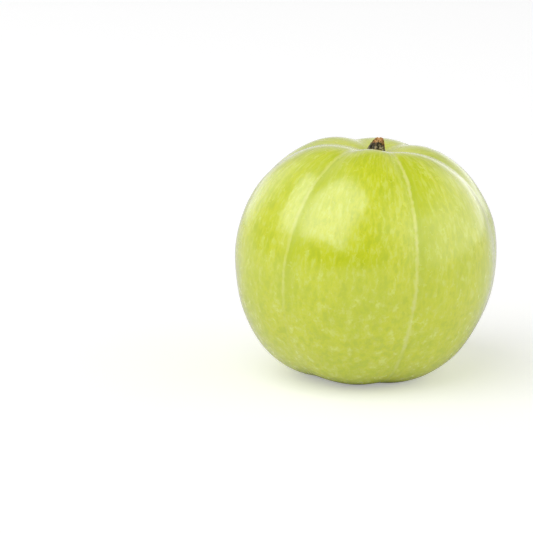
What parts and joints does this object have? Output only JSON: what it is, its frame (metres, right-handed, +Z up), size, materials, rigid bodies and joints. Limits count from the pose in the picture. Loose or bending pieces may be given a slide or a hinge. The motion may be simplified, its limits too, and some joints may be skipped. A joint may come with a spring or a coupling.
{
  "type": "indian gooseberry",
  "caption": "Whole pale-green indian gooseberry with shallow lobes, a stem basin holding a dried stalk stub and sepals, and a small flat spot it stands on.",
  "frame": {"origin": "the middle of the small flat spot under the fruit, on the surface it rests on", "axes": "+Z up; -Y is the fruit's front; the fruit's own axis leans about 4.6 degrees from +Z towards +X"},
  "size_m": [0.0384, 0.0385, 0.0351],
  "materials": {
    "fruit_skin": "satin",
    "stalk_wood": "matte",
    "calyx": "matte",
    "dried_sepal": "matte"
  },
  "bodies": {
    "root": {"fruit": "fruit_skin", "stalk_stub": "stalk_wood", "calyx_disc": "calyx", "sepal_1": "dried_sepal", "sepal_2": "dried_sepal", "sepal_3": "dried_sepal", "sepal_4": "dried_sepal", "sepal_5": "dried_sepal", "sepal_6": "dried_sepal", "blossom_scar": "stalk_wood"}
  },
  "joints": []
}
